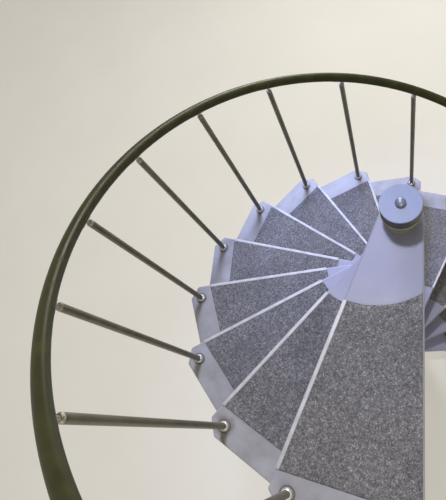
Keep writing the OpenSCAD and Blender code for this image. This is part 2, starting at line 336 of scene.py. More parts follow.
def treadPaint():
    # satin light grey paint on folded steel sheet: even, a little blotchy, with specks of grime and brown
    # stains that run from each baluster's foot to the tread's end, a painted cool sheen at the hub, a
    # painted shadow beyond the mat, and rubbed edges with a painted highlight on the bends
    looks = treadLooks
    made, tree, place = startMaterial("satinPaintOnSteel")
    blotch = addNode(tree, "TexNoise", {"Vector": place, "Scale": perMm(looks["blotchMm"]),
                                        "Detail": 3.0, "Roughness": 0.6})
    colour = addNode(tree, "ValToRGB", [blotch], stops=[
        (0.35, looks["paintDull"]), (0.5, looks["paint"]), (0.68, looks["paintCool"])])
    # the plan of the tread is its UV map, so what people leave lies alike on every tread
    plan = addNode(tree, "UVMap", uv_map="plan")
    # painted cool light and sheen: the paint turns bluer towards the hub
    fromHub = addNode(tree, "VectorMath", [plan], operation="LENGTH")
    coolSheen = addNode(tree, "MapRange", [fromHub, *looks["coolSheenR"], looks["coolSheenShare"], 0.0])
    fine = addNode(tree, "TexNoise", {"Vector": place, "Scale": perMm(looks["specksMm"]), "Detail": 2.0})
    speck = addNode(tree, "MapRange", [fine, 0.66, 0.8, 0.0, looks["speckShare"]])
    # a noise that shifts the plan, so that the stains have wandering edges
    wobble = addNode(tree, "TexNoise",
                     {"Vector": place, "Scale": perMm(looks["wobbleMm"]), "Detail": 3.0})
    swing = addNode(tree, "VectorMath", [wobble.outputs["Color"], (0.5, 0.5, 0.5)],
                    operation="SUBTRACT")
    swing = addNode(tree, "VectorMath", [swing, looks["wobbleBy"]], operation="SCALE")
    moved = addNode(tree, "VectorMath", [plan, swing], operation="ADD")
    # turn and centre the plan on the foot, with its x axis along the streak
    foot = (*looks["footXY"], 0)
    way = np.subtract(looks["streakTo"], looks["footXY"])
    length, angle = math.hypot(*way), math.atan2(way[1], way[0])
    centre = (-turned(np.array(foot), -angle)).tolist()
    along = addNode(tree, "Mapping", {"Vector": moved, "Location": centre, "Rotation": (0, 0, -angle)})
    # the streak is an ellipse: its place over its half sizes is 1 long at its edge
    halfLong, halfWide = looks["streakHalf"]
    onStreak = addNode(tree, "VectorMath", [along, (-length / 2, 0, 0)], operation="ADD")
    onStreak = addNode(tree, "VectorMath", [onStreak, (1 / halfLong, 1 / halfWide, 0)],
                       operation="MULTIPLY")
    far = addNode(tree, "VectorMath", [onStreak], operation="LENGTH")
    streak = addNode(tree, "MapRange", [far, 0.5, 1.2, looks["streakShare"], 0.0])
    near = addNode(tree, "VectorMath", [moved, foot], operation="DISTANCE")
    halo = addNode(tree, "MapRange", [near, *looks["haloR"], looks["haloShare"], 0.0])
    rust = addNode(tree, "Math", [streak, halo], operation="MAXIMUM")
    amount = addNode(tree, "Attribute", attribute_name="stain").outputs["Fac"]
    rust = addNode(tree, "Math", [rust, amount], operation="MULTIPLY")
    # painted shadow where the plan's x is within its half width of a line just outside the mat
    out = addNode(tree, "SeparateXYZ", [plan])
    line = addNode(tree, "Math", [out, looks["matEnd"] + looks["matShadowHalf"], looks["matShadowHalf"]],
                   operation="COMPARE")
    matShadow = addNode(tree, "MapRange", [wobble, 0.35, 0.6, *looks["matShadowShare"]])
    matShadow = addNode(tree, "Math", [matShadow, line], operation="MULTIPLY")
    # the edges are lighter: rubbed paint, and a painted highlight on the bends
    wearAndHighlight = addNode(tree, "Attribute", attribute_name="wearAndHighlight").outputs["Fac"]
    rubbedAndLit = addNode(tree, "Math", [wearAndHighlight, looks["rubbedAndLitShare"]], operation="MULTIPLY")
    # one over the other: painted cool sheen, specks of grime, rust, the painted shadow beyond the mat,
    # and edges that are rubbed and carry a painted highlight
    for share, over in ((coolSheen, "paintedCoolSheen"), (speck, "grime"), (rust, "rust"), (matShadow, "matShadowLine"),
                        (rubbedAndLit, "edge")):
        colour = addNode(tree, "Mix", [share, colour, linear(looks[over])], data_type="RGBA")
    rough = addNode(tree, "MapRange", [blotch, 0.3, 0.7, *looks["roughness"]])
    finishMaterial(tree, {"Base Color": colour, "Roughness": rough, "IOR": 1.5, "Metallic": 0.0},
                   fine, looks["reliefDeep"], looks["reliefShare"])
    return made


matLooks = {
    "dark": "#4e4e52", "mid": "#616166", "base": "#6f6f73", "pale": "#77777c", "light": "#99999d",
    "grainMm": 3.2, "fleckMm": 4.6, "paleShare": 0.75, "darkShare": 0.7,
    "patchMm": 120, "patchBy": 0.22, "clumpMm": 11, "clumpBy": 0.2,  # how much tone varies
    "roughness": 0.82, "reliefDeep": 1.2 * mm, "reliefShare": 0.6,
}


def gritMat():
    # mineral grit in a rubber binder: matt, with dark, grey and pale grains about 2 mm across,
    # drawn at 3 to 5 mm so that they show at the camera's distance, in clumps and patches
    looks = matLooks
    made, tree, place = startMaterial("gritInRubber")
    grain = addNode(tree, "TexVoronoi", {"Vector": place, "Scale": perMm(looks["grainMm"])})
    shade = addNode(tree, "SeparateColor", [grain.outputs["Color"]])
    colour = addNode(tree, "ValToRGB", [shade], stops=[
        (0.0, looks["dark"]), (0.3, looks["mid"]), (0.62, looks["base"]), (0.86, looks["pale"]),
        (1.0, looks["light"])])
    fleck = addNode(tree, "TexNoise", {"Vector": place, "Scale": perMm(looks["fleckMm"]),
                                       "Detail": 2.0, "Roughness": 0.7})
    pale = addNode(tree, "MapRange", [fleck, 0.57, 0.68, 0.0, looks["paleShare"]])
    deep = addNode(tree, "MapRange", [fleck, 0.33, 0.43, looks["darkShare"], 0.0])
    for share, over in ((pale, "light"), (deep, "dark")):
        colour = addNode(tree, "Mix", [share, colour, linear(looks[over])], data_type="RGBA")
    patch = addNode(tree, "TexNoise", {"Vector": place, "Scale": perMm(looks["patchMm"]),
                                       "Detail": 5.0, "Roughness": 0.8})
    clump = addNode(tree, "TexNoise", {"Vector": place, "Scale": perMm(looks["clumpMm"]), "Detail": 1.0})
    for noise, half, by in ((patch, 0.2, looks["patchBy"]), (clump, 0.15, looks["clumpBy"])):
        level = addNode(tree, "MapRange", [noise, 0.5 - half, 0.5 + half, 1 - by, 1 + by])
        colour = addNode(tree, "Mix", [1.0, colour, level], data_type="RGBA", blend_type="MULTIPLY")
    finishMaterial(tree, {"Base Color": colour, "Roughness": looks["roughness"], "IOR": 1.5},
                   fleck, looks["reliefDeep"], looks["reliefShare"])
    return made


metalLooks = {
    "cloudMm": 40, "spotMm": 9, "spotShare": 0.8, "scratchMm": 2.0, "scratchDeep": 0.05 * mm,
    "duller": (-0.07, 0.09),  # how far the scratches move the roughness
}


def brushedMetal(name, colour, dark, roughness, metallic, relief=0.4, rust=None, rustShare=0.0):
    # bare or plated metal: clouded in tone, with scratches under 1 mm, drawn at 2 mm, that
    # spread its shine, and with spots of rust if it has a colour for them
    looks = metalLooks
    made, tree, place = startMaterial(name)
    cloud = addNode(tree, "TexNoise", {"Vector": place, "Scale": perMm(looks["cloudMm"]), "Detail": 4.0})
    scratch = addNode(tree, "TexNoise",
                      {"Vector": place, "Scale": perMm(looks["scratchMm"]), "Detail": 4.0})
    tone = addNode(tree, "ValToRGB", [cloud], stops=[(0.35, dark), (0.62, colour)])
    if rust:
        spot = addNode(tree, "TexNoise",
                       {"Vector": place, "Scale": perMm(looks["spotMm"]), "Detail": 5.0})
        where = addNode(tree, "MapRange",
                        [spot, 0.62 - rustShare, 0.7 - rustShare, 0.0, looks["spotShare"]])
        tone = addNode(tree, "Mix", [where, tone, linear(rust)], data_type="RGBA")
    rough = addNode(tree, "MapRange", [scratch, 0.3, 0.7, *(roughness + by for by in looks["duller"])])
    finishMaterial(tree, {"Base Color": tone, "Roughness": rough, "Metallic": metallic},
                   scratch, looks["scratchDeep"], relief)
    return made


paintLooks = {
    "cloudMm": 60, "speckMm": 2.5, "speckDeep": 0.08 * mm, "coatRoughness": 0.25,
    "duller": (-0.08, 0.1),
}


def satinPaint(name, colour, dark, light, roughness, coat=0.1, specular=0.5, relief=0.3):
    # brushed-on satin paint: slightly uneven in tone and gloss, thin and rubbed in places; dull
    # rubber is the same with more roughness
    looks = paintLooks
    made, tree, place = startMaterial(name)
    cloud = addNode(tree, "TexNoise", {"Vector": place, "Scale": perMm(looks["cloudMm"]),
                                       "Detail": 5.0, "Roughness": 0.6})
    tone = addNode(tree, "ValToRGB", [cloud], stops=[(0.3, dark), (0.5, colour), (0.72, light)])
    speck = addNode(tree, "TexNoise",
                    {"Vector": place, "Scale": perMm(looks["speckMm"]), "Detail": 3.0})
    rough = addNode(tree, "MapRange", [cloud, 0.3, 0.7, *(roughness + by for by in looks["duller"])])
    finishMaterial(tree, {"Base Color": tone, "Roughness": rough, "IOR": 1.5, "Metallic": 0.0,
                          "Coat Weight": coat, "Coat Roughness": looks["coatRoughness"],
                          "Specular IOR Level": specular}, speck, looks["speckDeep"], relief)
    return made


paintTread = treadPaint()
# grey paint, dull, and darker than the treads' paint: partly painted shade
paintColumn = satinPaint("satinPaintOnColumn", "#807f76", "#737269", "#8b8a82", 0.45)
# grey-brown paint with a soft highlight along the tube
paintBaluster = satinPaint("satinPaintOnTube", "#666250", "#4f4b40", "#737062", 0.38)
# dark olive paint, smooth from hands, so its shine is faint but even
paintRail = satinPaint("satinPaintOnRail", "#2f2f14", "#27270f", "#39391b", 0.38, 0.0, 0.18, 0.08)
# grey paint on a smooth turned disc, tinted blue: a painted cool light and sheen
paintCap = satinPaint("satinPaintOnCap", "#7e8cb6", "#7885af", "#8794be", 0.4, relief=0.08)
gritSurface = gritMat()
# anodised aluminium: pale, with a soft sheen and no clear mirror
stripMetal = brushedMetal("anodisedStrip", "#c1c1c6", "#b0b0b6", 0.48, 0.1)
# zinc plate: bright and nearly smooth
footMetal = brushedMetal("zincPlatedBush", "#d4d3d1", "#c0bfbc", 0.31, 0.5, relief=0.05)
# steel, dark and dull, with some rust: the dark tone is partly painted contact shade round the bush
washerMetal = brushedMetal("darkShadedWasher", "#686668", "#555354", 0.5, 0.2,
                           rust="#6a4f3e", rustShare=0.04)
# steel dulled by handling, with a trace of rust: pale, partly as painted light against the shade of
# the handrail above
headMetal = brushedMetal("dullSteelHead", "#b9b6ae", "#8d8a82", 0.45, 0.15,
                         rust="#7b6a58", rustShare=0.03)
# galvanised steel: grey and clouded, with rust spots
boltMetal = brushedMetal("galvanisedBolt", "#a3a3a5", "#86868a", 0.42, 0.7,
                         rust="#74563f", rustShare=0.04)
# stainless steel: a soft mirror of what is round it; its dark blue-grey tone is partly a painted
# reflection
nutMetal = brushedMetal("satinStainlessNut", "#8f97ab", "#828a9e", 0.4, 0.75)
# pale grey rubber, matt
sealRubber = satinPaint("sealRubber", "#a6a699", "#93938a", "#b5b5aa", 0.7)
# black rubber, matt and a little dusty
capRubber = satinPaint("capRubber", "#39393b", "#313133", "#424244", 0.6)
print("materials made")


# Treads

tread = {
    "sheet": 4 * mm, "depth": 40 * mm, "bendOut": 6 * mm, "bendIn": 2 * mm, "cornerR": 12 * mm,
    "flatBand": 1 * mm,  # a flat row beside each bend, so that the plate shades flat
    "hubHalf": 68 * mm, "sideMargin": 56 * mm, "rimMargin": 50 * mm, "cornerCut": 53 * mm,
    "boreR": 48 * mm, "hubR": 52.5 * mm, "frontHoleR": 11.3 * mm, "rearHoleR": 5.5 * mm,
    "ribHalf": 2.5 * mm, "ribDepth": 26 * mm, "lipSoft": 0.8 * mm,
    "beadThick": 3 * mm, "beadOut": 1.5 * mm,  # the weld bead's middle lies beadOut off the corner
    "landingHoles": (240 * mm, 420 * mm, 600 * mm), "landingHoleR": 5.5 * mm,
}
holeX = stair["balusterR"] * math.cos(stair["turn"] / 2)
holeY = stair["balusterR"] * math.sin(stair["turn"] / 2)
sideSlope = (holeY + tread["sideMargin"] - tread["hubHalf"]) / holeX
sideAngle = math.atan(sideSlope)
sideCos, sideSin = math.cos(sideAngle), math.sin(sideAngle)
rimX = holeX + tread["rimMargin"]
cornerSum = rimX + tread["hubHalf"] + sideSlope * rimX - tread["cornerCut"]


def sideY(x):
    # a tread's half width at x, which grows in a straight line
    return tread["hubHalf"] + sideSlope * x


def treadOutline():
    # front side, cut corner, end, cut corner, rear side, then half a circle round the column
    cutX = (cornerSum - tread["hubHalf"]) / (1 + sideSlope)
    corners = [[0, -sideY(0)], [cutX, -sideY(cutX)], [rimX, rimX - cornerSum],
               [rimX, cornerSum - rimX], [cutX, sideY(cutX)], [0, sideY(0)]]
    back = arcOf((0, 0), tread["hubHalf"], 90, 270, 20)[1:-1]
    return np.vstack([rounded(corners, tread["cornerR"]), back])


def treadShell():
    # a closed tray: the outline is carried down a profile of (inset, height) round the folded
    # edge, and flat plates with holes close it above and below
    t = tread
    low, soft, thick = -t["depth"], t["lipSoft"], t["sheet"]
    upper, under = t["bendOut"], thick + t["bendIn"]
    outer = arcOf((upper, -upper), upper, 90, 180, 7)
    inner = arcOf((under, -under), t["bendIn"], 180, 90, 7)
    lip = [[0, low + soft], [soft / 3, low + soft / 3], [soft, low],
           [thick - soft, low], [thick - soft / 3, low + soft / 3], [thick, low + soft]]
    profile = np.vstack([[[upper + t["flatBand"], 0]], outer, lip, inner,
                         [[under + t["flatBand"], -thick]]])
    wall = carried(treadOutline(), profile)
    made = Shell()
    made.grid(wall)
    bore, hub = ring(t["boreR"], 48), ring(t["hubR"], 48)
    front, rear = ring(t["frontHoleR"], 32, (holeX, -holeY)), ring(t["rearHoleR"], 24, (holeX, holeY))
    made.plate([wall[0][:, :2], bore, front, rear], 0)
    made.plate([wall[-1][:, :2], hub, front, rear], -thick)
    made.plate([hub, bore], low)
    for edge, high, deep in ((bore, 0, low), (hub, -thick, low), (front, 0, -thick), (rear, 0, -thick)):
        made.grid(carried(edge, [(0, high), (0, deep)]))
    return made


def barShell(made, low, high, soft):
    # a bar between two corners with its long edges rounded
    (y0, z0), (y1, z1) = low[1:], high[1:]
    section = roundedLoop([[y0, z0], [y1, z0], [y1, z1], [y0, z1]], soft, 4)
    ends = [np.column_stack([np.full(len(section), x), section]) for x in (low[0], high[0])]
    made.grid(np.stack(ends))
    for loop in ends:
        made.end(loop)


def beadShell(made, radius, z, thick, lumps=70, steps=280):
    # a weld bead: a torus that is up to 14 % thicker at each of its lumps, and 8 % thicker and
    # thinner in seven long waves
    a = np.linspace(0, 2 * math.pi, steps, endpoint=False)[:, None]
    b = np.linspace(0, 2 * math.pi, 9, endpoint=False)[None, :]
    size = thick * (1 + 0.14 * np.abs(np.sin(a * lumps / 2)) + 0.08 * np.sin(a * 7))
    r = radius + size * np.cos(b)
    made.grid(np.stack([r * np.cos(a), r * np.sin(a), z + size * np.sin(b)], -1), wrapRows=True)


def planMap(piece, i):
    # the piece's UV map is its plan in its tread's own frame, in metres; two attributes say where its
    # edges are rubbed and carry a painted highlight, and how much its foot has rusted
    mesh = piece.data
    local = turned(pointsOf(mesh), -(bearing(i) + stair["turn"] / 2), -i * stair["rise"])
    corner = np.empty(len(mesh.loops), np.int32)
    mesh.loops.foreach_get("vertex_index", corner)
    plan = local[corner, :2].astype(np.float32)
    mesh.uv_layers.new(name="plan").data.foreach_set("uv", plan.ravel())
    # the bend's wear and painted highlight is 1 from 1 to 4 mm down and 0 above the sheet and from
    # 7 mm down; the lip's grows from 1.5 mm above its end
    z = local[:, 2] / mm
    bend = np.clip(-z, 0, 1) * np.clip((z + 7) / 3, 0, 1)
    lip = np.clip(1.5 - z - tread["depth"] / mm, 0, 1)
    amount = treadLooks["stains"].get(i, treadLooks["stainElse"])
    for name, values in (("wearAndHighlight", np.maximum(bend, lip)), ("stain", np.full(len(z), amount))):
        made = mesh.attributes.new(name, "FLOAT", "POINT")
        made.data.foreach_set("value", values.astype(np.float32))


def drillLanding(piece):
    # the top tread's rear edge has bolt holes, cut with plain cylinders
    r, thick = tread["landingHoleR"], tread["sheet"]
    wall = revolved([[0, -thick * 2], [r, -thick * 2], [r, thick], [0, thick]], 32)
    x, y, z = wall[..., 0], wall[..., 1], wall[..., 2]
    for along in tread["landingHoles"]:
        # the drill's z axis points out of the rear edge
        out = along + x
        points, faces = surface(np.stack([
            out * sideCos - z * sideSin, sideY(0) + out * sideSin + z * sideCos,
            y - tread["depth"] / 2], -1))
        cutter = newObject("drill", newMesh("drill", onTread(points, stair["count"]), faces))
        cut = piece.modifiers.new("cut", "BOOLEAN")
        cut.operation, cut.object, cut.solver = "DIFFERENCE", cutter, "EXACT"
        done = bpy.data.meshes.new_from_object(piece.evaluated_get(bpy.context.evaluated_depsgraph_get()))
        piece.modifiers.remove(cut)
        piece.data = done
        bpy.data.objects.remove(cutter)


def makeTreads():
    # one mesh of tray, rib and weld bead, placed for each tread
    t = tread
    rib = Shell()
    barShell(rib, (t["hubR"] - mm, -t["ribHalf"], -t["sheet"] - t["ribDepth"]),
             (rimX - t["sheet"] / 2, t["ribHalf"], -t["sheet"] + mm), t["lipSoft"])
    beadShell(rib, t["hubR"] + t["beadOut"], -t["sheet"] - t["beadOut"], t["beadThick"])
    points, faces = joined(treadShell().merged(), rib.merged())
    for i, name in enumerate(treadNames, 1):
        piece = makePiece(f"folded_{name}", onTread(points, i), faces, paintTread,
                          "tread_paint", [name], 30)
        if i == stair["count"]:
            drillLanding(piece)
        planMap(piece, i)


makeTreads()
print("treads made")


# Mats and nosing strips

mat = {
    "thick": 3.5 * mm, "rim": 105 * mm, "rear": 5 * mm, "arcR": 238 * mm, "arcX": 47 * mm,
    "arcY": 66 * mm, "soft": 0.9 * mm, "cornerR": 2 * mm,
}
nosing = {
    "width": 10 * mm, "thick": 4.5 * mm, "lip": 16 * mm, "lipThick": 2 * mm,
    "soft": (0.3, 1.0, 2.6, 0.7, 0.4, 0.3),  # radius of each edge in mm, from the rear one on
}
matEndX = rimX - mat["rim"]
arcCentre = np.array([mat["arcX"], -mat["arcY"]])


def onArc():
    # where the mat's front and rear lines, at base + way times s, meet its round inner edge: s
    # is the far root of the circle's quadratic equation
    found = []
    for sign, inset in ((-1, nosing["width"]), (1, mat["rear"])):
        base = np.array([0, sign * (tread["hubHalf"] - inset / sideCos)])
        way = np.array([sideCos, sign * sideSin])
        rel = base - arcCentre
        b = rel @ way
        found.append(base + way * (-b + math.sqrt(b * b - rel @ rel + mat["arcR"] ** 2)))
    return found


def matShell():
    # a slab with a round inner edge: its outline carried up a short rounded profile
    front, rear = onArc()
    start, end = (math.degrees(math.atan2(*(p - arcCentre)[::-1])) for p in (rear, front))
    arc = arcOf(arcCentre, mat["arcR"], start, end, 40)
    farFront = [matEndX, -sideY(matEndX) + nosing["width"] / sideCos]
    farRear = [matEndX, sideY(matEndX) - mat["rear"] / sideCos]
    loop = np.vstack([rounded([arc[-1], farFront, farRear, arc[0]], mat["cornerR"], 4), arc[1:-1]])
    soft, thick = mat["soft"], mat["thick"]
    edge = arcOf((soft, thick - soft), soft, 180, 90, 5)
    profile = np.vstack([[[0, 0]], edge, [[2 * soft, thick]]])
    wall = carried(loop, profile)
    made = Shell()
    made.grid(wall)
    made.plate([wall[0][:, :2]], 0)
    made.plate([wall[-1][:, :2]], thick)
    return made


def nosingShell():
    # an angle strip: an L-shaped section with rounded edges, from the arc to the mat's end
    n = nosing
    near = (onArc()[0][0] + mm) / sideCos
    far = matEndX / sideCos
    corners = [[n["width"], 0], [n["width"], n["thick"]], [-n["lipThick"], n["thick"]],
               [-n["lipThick"], -n["lip"]], [0, -n["lip"]], [0, 0]]
    section = roundedLoop(corners, np.array(n["soft"]) * mm, 5)
    made = Shell()
    ends = []
    for x in (near, far):
        local = np.column_stack([np.full(len(section), x), section])
        ends.append(turned(local, -sideAngle) + [0, -sideY(0), 0])
    made.grid(np.stack(ends))
    faces = tessellate_polygon([[Vector((y, z, 0)) for y, z in section]])
    for loop in ends:
        made.add(loop, faces)
    return made


makeCopies("grit_mats", matShell().merged(), onTread, treadsAll, gritSurface, "grit_mat",
           ["tread_mats"], 40)
makeCopies("angle_strips", nosingShell().merged(), onTread, treadsAll, stripMetal, "nosing_metal",
           ["nosing_strips"], 40)
print("mats and nosing strips made")


# Small hardware

def hexBolt(across, high, washerR, washerThick):
    # a washer and a hexagon head with its corners turned down, both upwards from z = 0: the
    # head is a profile turned in six steps, so its widest radius is across / 2 / cos 30
    wide = across / 2 / math.cos(math.pi / 6)
    top = washerThick + high
    soft, turnedDown = 0.4 * mm, 0.12 * high
    washer = [[0, 0], [washerR, 0], [washerR, washerThick], [0, washerThick]]
    hexagon = [[0, washerThick], [wide, washerThick], [wide, top - turnedDown],
               [across / 2, top], [0, top]]
    return joined(lathed(rounded(washer, soft, 3), 32), lathed(hexagon, 6))


def screwDome(radius, high):
    # a low round head: a quarter of an ellipse turned about z
    return lathed(np.vstack([[[0, 0]], arcOf((0, 0), (radius, high), 0, 90, 7)]), 24)


def ringOf(radius, bore, low, high, soft, steps=64):
    # a ring with soft edges: a rounded rectangle turned about z
    section = roundedLoop([[bore, low], [radius, low], [radius, high], [bore, high]], soft, 4)
    return lathed(section, steps, closed=True)


def discOf(radius, low, high, softLow, softHigh, steps=64):
    # a disc with soft edges: three sides of a rectangle turned about z
    corners = [[0, low], [radius, low], [radius, high], [0, high]]
    return lathed(rounded(corners, np.array([softLow, softHigh]), 5), steps)


# Balusters and their feet

baluster = {
    "r": 11 * mm, "boreR": 11.3 * mm, "low": -stair["rise"], "high": 941 * mm, "soft": 0.8 * mm,
    "washerR": 23 * mm, "washerThick": 2 * mm, "bushR": 18 * mm, "bushHigh": 16 * mm,
    "washerSoft": 0.6 * mm, "bushSoft": 0.3 * mm, "bushLip": 0.8 * mm,
    "plateR": 35 * mm, "plateThick": 5 * mm, "plateSoft": (0.3 * mm, 1.2 * mm), "plateScrews": 4,
    "screwAt": 26 * mm, "screwR": 4.5 * mm, "screwHigh": 2 * mm, "screwTurn": 0.6,
    "boltAcross": 17 * mm, "boltHigh": 6.4 * mm, "boltWasherR": 10.5 * mm, "boltWasherThick": 2 * mm,
}


def tubeMesh(low):
    # a tube with closed ends from low up to the head: three sides of a rectangle turned about z
    b = baluster
    corners = [[0, low], [b["r"], low], [b["r"], b["high"]], [0, b["high"]]]
    return lathed(rounded(corners, b["soft"], 4), 40)


def bushMesh():
    # a bell round the tube: a quarter of an ellipse from the top of its lip up to the tube
    b = baluster
    low, lip, soft = b["washerThick"], b["bushLip"], b["bushSoft"]
    bell = arcOf((b["boreR"], low + lip), (b["bushR"] - b["boreR"], b["bushHigh"] - low - lip),
                 0, 90, 14)
    foot = [[b["boreR"], low], [b["bushR"] - soft, low], [b["bushR"], low + soft]]
    return lathed(np.vstack([foot, bell]), 48, closed=True)


def makeBalusters():
    # the tubes one by one, and all feet, washers and bolts as one piece each
    b = baluster
    for i in treadsAll:
        low = b["low"] + (b["plateThick"] if i == 1 else 0)
        name = f"baluster_{i:02d}"
        makeCopies(f"tube_{name}", tubeMesh(low), atBaluster, [i], paintBaluster, "baluster_metal",
                   [name])
    makeCopies("domed_feet", bushMesh(), atBaluster, treadsAll, footMetal, "foot_metal",
               ["baluster_feet"], 50)
    washer = ringOf(b["washerR"], b["boreR"], 0, b["washerThick"], b["washerSoft"], 48)
    makeCopies("foot_washers", washer, atBaluster, treadsAll, washerMetal, "foot_metal",
               ["baluster_feet"], 50)

    # the bolt that holds each baluster comes up through the rear corner of the tread below
    points, faces = hexBolt(b["boltAcross"], b["boltHigh"], b["boltWasherR"], b["boltWasherThick"])
    below = [holeX, holeY, -tread["sheet"]] + points * [1, -1, -1]  # half a turn about x
    makeCopies("baluster_bolts", (below, faces), onTread, treadsAll[:-1], boltMetal, "foot_metal")

    plate = discOf(b["plateR"], -b["plateThick"], 0, *b["plateSoft"])
    points, faces = screwDome(b["screwR"], b["screwHigh"])
    turns = np.arange(b["plateScrews"]) * 2 * math.pi / b["plateScrews"] + b["screwTurn"]
    screws = [(turned(points + [b["screwAt"], 0, 0], a), faces) for a in turns]
    points, faces = joined(plate, *screws)
    points[:, 2] += b["low"] + b["plateThick"]
    makeCopies("screwed_floor_plate", (points, faces), atBaluster, [1], boltMetal, "foot_metal",
               ["floor_plate"])


makeBalusters()
print("balusters made")


# Handrail and the heads that hold it

rail = {"r": 19 * mm, "high": 989 * mm, "over": 120 * mm, "rings": 420, "sides": 40}
railPitch = math.atan(stair["rise"] / (stair["balusterR"] * stair["turn"]))
railOver = rail["over"] / stair["balusterR"]
head = {
    "plug": 3 * mm, "ringR": 8 * mm, "ringHigh": 4 * mm, "pinR": 4.5 * mm, "pinDeep": 5.7 * mm,
    "soft": (0.3, 2.0, 1.4, 0.8, 0.3),  # radius of each corner in mm, from the plug's foot up
    "saddleLong": 68 * mm, "saddleHalf": 10 * mm, "saddleThick": 2.5 * mm,
    "screwAt": 23 * mm, "screwR": 4.2 * mm, "screwHigh": 2 * mm, "screwSunk": 0.4 * mm,
}


def railFrame(a):
    # the helix at bearing a: its middle, and the unit vectors outwards and up, square to it
    r = stair["balusterR"]
    height = a / stair["turn"] * stair["rise"] + rail["high"]
    middle = np.stack([r * np.cos(a), r * np.sin(a), height], -1)
    out = np.stack([np.cos(a), np.sin(a), 0 * a], -1)
    sp, cp = math.sin(railPitch), math.cos(railPitch)
    up = np.stack([np.sin(a) * sp, -np.cos(a) * sp, cp + 0 * a], -1)
    along = np.stack([-np.sin(a) * cp, np.cos(a) * cp, sp + 0 * a], -1)
    return middle, out, up, along


def makeRail():
    # a tube along the helix, with a half sphere at each end
    a = np.linspace(bearing(1) - railOver, railOver, rail["rings"])
    middle, out, up, along = railFrame(a)
    f = np.linspace(0, 2 * math.pi, rail["sides"], endpoint=False)[None, :, None]
    circle = np.cos(f) * out[:, None] + np.sin(f) * up[:, None]
    made = Shell()
    made.grid(middle[:, None] + rail["r"] * circle)
    b = np.radians(np.linspace(0, 90, 8))[:, None, None]
    for k, sign in ((0, -1), (-1, 1)):
        made.grid(middle[k] + rail["r"] * (np.cos(b) * circle[k] + sign * np.sin(b) * along[k]))
    points, faces = made.merged()
    makePiece("helical_handrail", withBaluster(points, stair["count"]), faces, paintRail, "rail_finish",
              ["handrail", "rail_end_caps"], 60)


def saddleMesh():
    # a strip bent round the handrail's underside and along its helix: at s along and angle f
    # from straight down its face is r + thick (1 - t^8)^(1/2) from the middle, where t is f over
    # the half width, which closes as a half circle at both ends
    h, half, long = head, head["saddleHalf"], head["saddleLong"] / 2
    s = long * np.sin(np.linspace(-math.pi / 2, math.pi / 2, 41))
    past = np.clip((np.abs(s) - (long - half)) / half, 0, 1)
    wide = half * np.sqrt(1 - past ** 2) / rail["r"]
    t = np.sin(np.linspace(-math.pi / 2, math.pi / 2, 17))
    lift = np.concatenate([h["saddleThick"] * np.sqrt(1 - t ** 8), np.zeros(len(t) - 2)])
    t = np.concatenate([t, t[-2:0:-1]])
    f = t[None, :] * wide[:, None]
    middle, out, up, along = railFrame(s * math.cos(railPitch) / stair["balusterR"])
    reach = (rail["r"] + lift)[None, :, None]
    way = np.sin(f)[..., None] * out[:, None] - np.cos(f)[..., None] * up[:, None]
    return surface(middle[:, None] + reach * way, gap=2e-5)


def headMesh():
    # on the tube stand a plug, drawn in to a ring, and a pin, one profile turned about z; the
    # pin ends in the handrail, and two screws hold the saddle to it
    h, foot = head, baluster["high"]
    plugTop = foot + h["plug"]
    ringTop = plugTop + h["ringHigh"]
    top = rail["high"] - rail["r"] + h["pinDeep"]
    corners = [[0, foot], [baluster["r"], foot], [baluster["r"], plugTop], [h["ringR"], ringTop],
               [h["pinR"], ringTop], [h["pinR"], top], [0, top]]
    stud, studFaces = lathed(rounded(corners, np.array(h["soft"]) * mm, 5), 32)
    screw, screwFaces = screwDome(h["screwR"], h["screwHigh"])
    parts = [(stud + [stair["balusterR"], 0, 0], studFaces), saddleMesh()]
    for s in (-h["screwAt"], h["screwAt"]):
        middle, out, up, along = railFrame(s * math.cos(railPitch) / stair["balusterR"])
        deep = rail["r"] + h["saddleThick"] - h["screwSunk"] + screw[:, 2:]
        parts.append((middle + screw[:, :1] * along + screw[:, 1:2] * out - deep * up, screwFaces))
    return joined(*parts)


makeRail()
makeCopies("saddle_heads", headMesh(), withBaluster, treadsAll, headMetal, "baluster_metal",
           ["baluster_heads"], 40)
print("handrail made")


# Column and cap

column = {
    "spacerR": 52.5 * mm, "boreR": 48 * mm, "soft": 1.0 * mm, "topSpacer": 63 * mm,
    "flangeR": 150 * mm, "flangeThick": 12 * mm, "flangeHoles": 6, "flangeHoleR": 7 * mm,
    "boltCircleR": 120 * mm, "collarR": 62.5 * mm, "collarBoreR": 53 * mm, "collarHigh": 30 * mm,
    "boltAcross": 19 * mm, "boltHigh": 10 * mm, "boltWasherR": 12 * mm, "boltWasherThick": 2.5 * mm,
    "studR": 6 * mm, "studHigh": 9 * mm, "studSoft": (0.3 * mm, 1.2 * mm),
    "rimSoft": 1 * mm, "rimRound": 2 * mm, "beadThick": 3.4 * mm, "beadOut": 1 * mm,
    "collarSoft": (1.5, 1.5, 0.3),  # radius of each corner in mm, the outer one first
}
cap = {
    "r": 60.5 * mm, "thick": 5 * mm, "ringR": 59 * mm, "ringHigh": 46 * mm, "sealR": 61.5 * mm,
    "sealThick": 2.5 * mm, "nutR": 15.5 * mm, "nutRim": 5 * mm,
    # how soft the edges are, the disc's below and above
    "sealSoft": 0.8 * mm, "ringSoft": 0.6 * mm, "discSoft": (0.5 * mm, 1.4 * mm), "nutSoft": 0.8 * mm,
}


def makeSpacers():
    # a ring from each hub's top, or the flange, up to the next hub, and one on the top tread
    c = column
    rise = stair["rise"]
    lows = [c["flangeThick"], *(i * rise for i in treadsAll)]
    highs = [*(i * rise - tread["depth"] for i in treadsAll),
             stair["count"] * rise + c["topSpacer"]]
    rings = [ringOf(c["spacerR"], c["boreR"], low, high, c["soft"]) for low, high in zip(lows, highs)]
    makePiece("turned_spacers", *joined(*rings), paintColumn, "column_paint", ["column_spacers"], 30)


